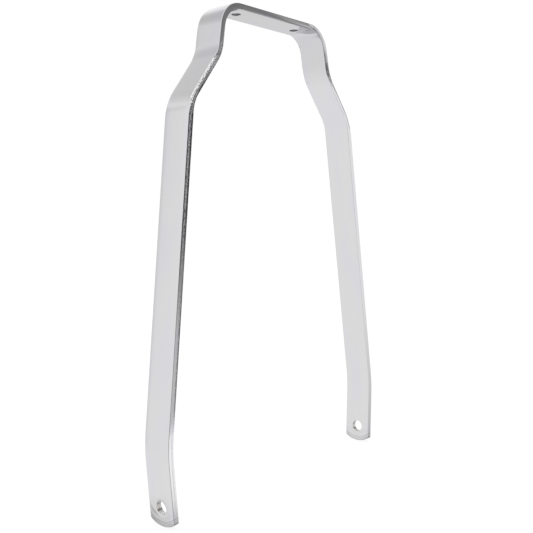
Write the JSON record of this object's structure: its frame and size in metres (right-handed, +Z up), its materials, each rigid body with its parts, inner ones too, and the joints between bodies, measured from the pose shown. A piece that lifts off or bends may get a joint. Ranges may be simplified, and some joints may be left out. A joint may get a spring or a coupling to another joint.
{
  "type": "sissy bar",
  "caption": "Upright flat-bar hoop with a narrow drilled crosspiece, sloping shoulders and long legs, bolted to the rear frame at its drilled feet to carry a backrest pad.",
  "frame": {"origin": "midway between the feet, at the height of the foot tips and the middle of the bar's width", "axes": "+Z up the hoop to the crosspiece, +X across the legs along the crosspiece, +Y front to back across the bar's width"},
  "size_m": [0.2624, 0.0254, 0.3825],
  "materials": {
    "chrome": "bright chrome plate over polished flat bar"
  },
  "bodies": {
    "root": {"bent_bar": "chrome"}
  },
  "joints": []
}
